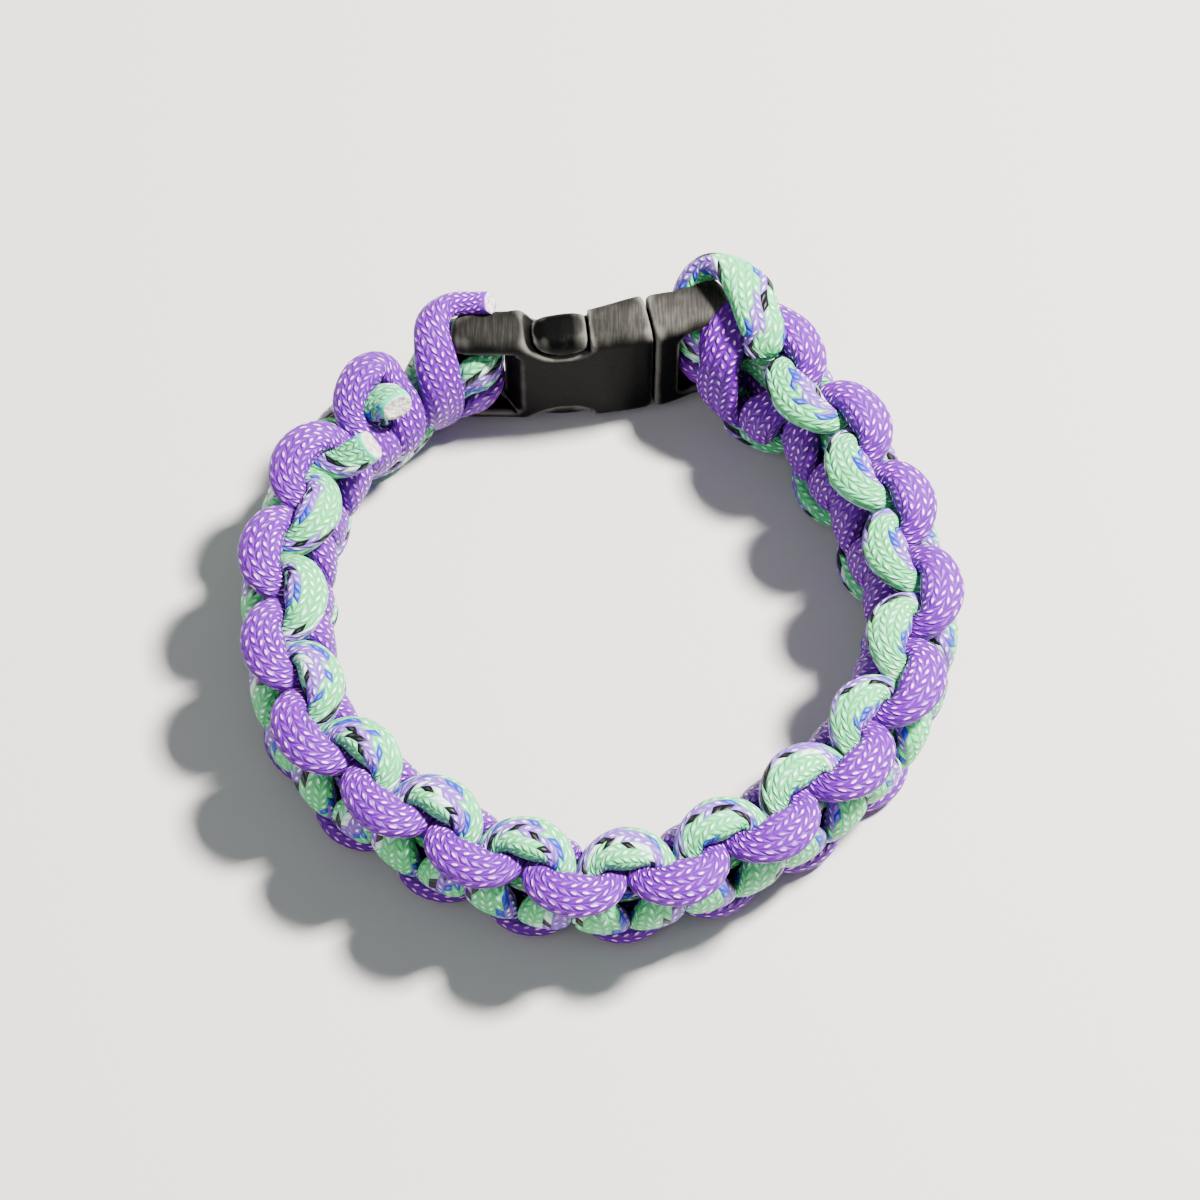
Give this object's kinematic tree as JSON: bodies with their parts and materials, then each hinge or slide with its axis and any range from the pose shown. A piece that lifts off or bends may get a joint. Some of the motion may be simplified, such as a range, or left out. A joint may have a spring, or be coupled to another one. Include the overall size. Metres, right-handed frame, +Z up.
{
  "type": "paracord bracelet",
  "caption": "Closed woven cord bracelet in purple and patterned mint, cobra weave over a straight core, fastened with a curved black side-release buckle.",
  "frame": {"origin": "middle of the bracelet's outline on the table plane it lies on", "axes": "+Z up, across the band and along the wrist; +Y towards the buckle; +X from the buckle's socket to its plug"},
  "size_m": [0.0728, 0.0746, 0.0185],
  "materials": {
    "buckle": "lightly worn satin",
    "purple_cord": "braided, slight sheen",
    "mint_cord": "braided, slight sheen"
  },
  "bodies": {
    "root": {"buckle_socket": "buckle", "buckle_plug": "buckle", "purple_cord": "purple_cord", "mint_cord": "mint_cord"}
  },
  "joints": []
}
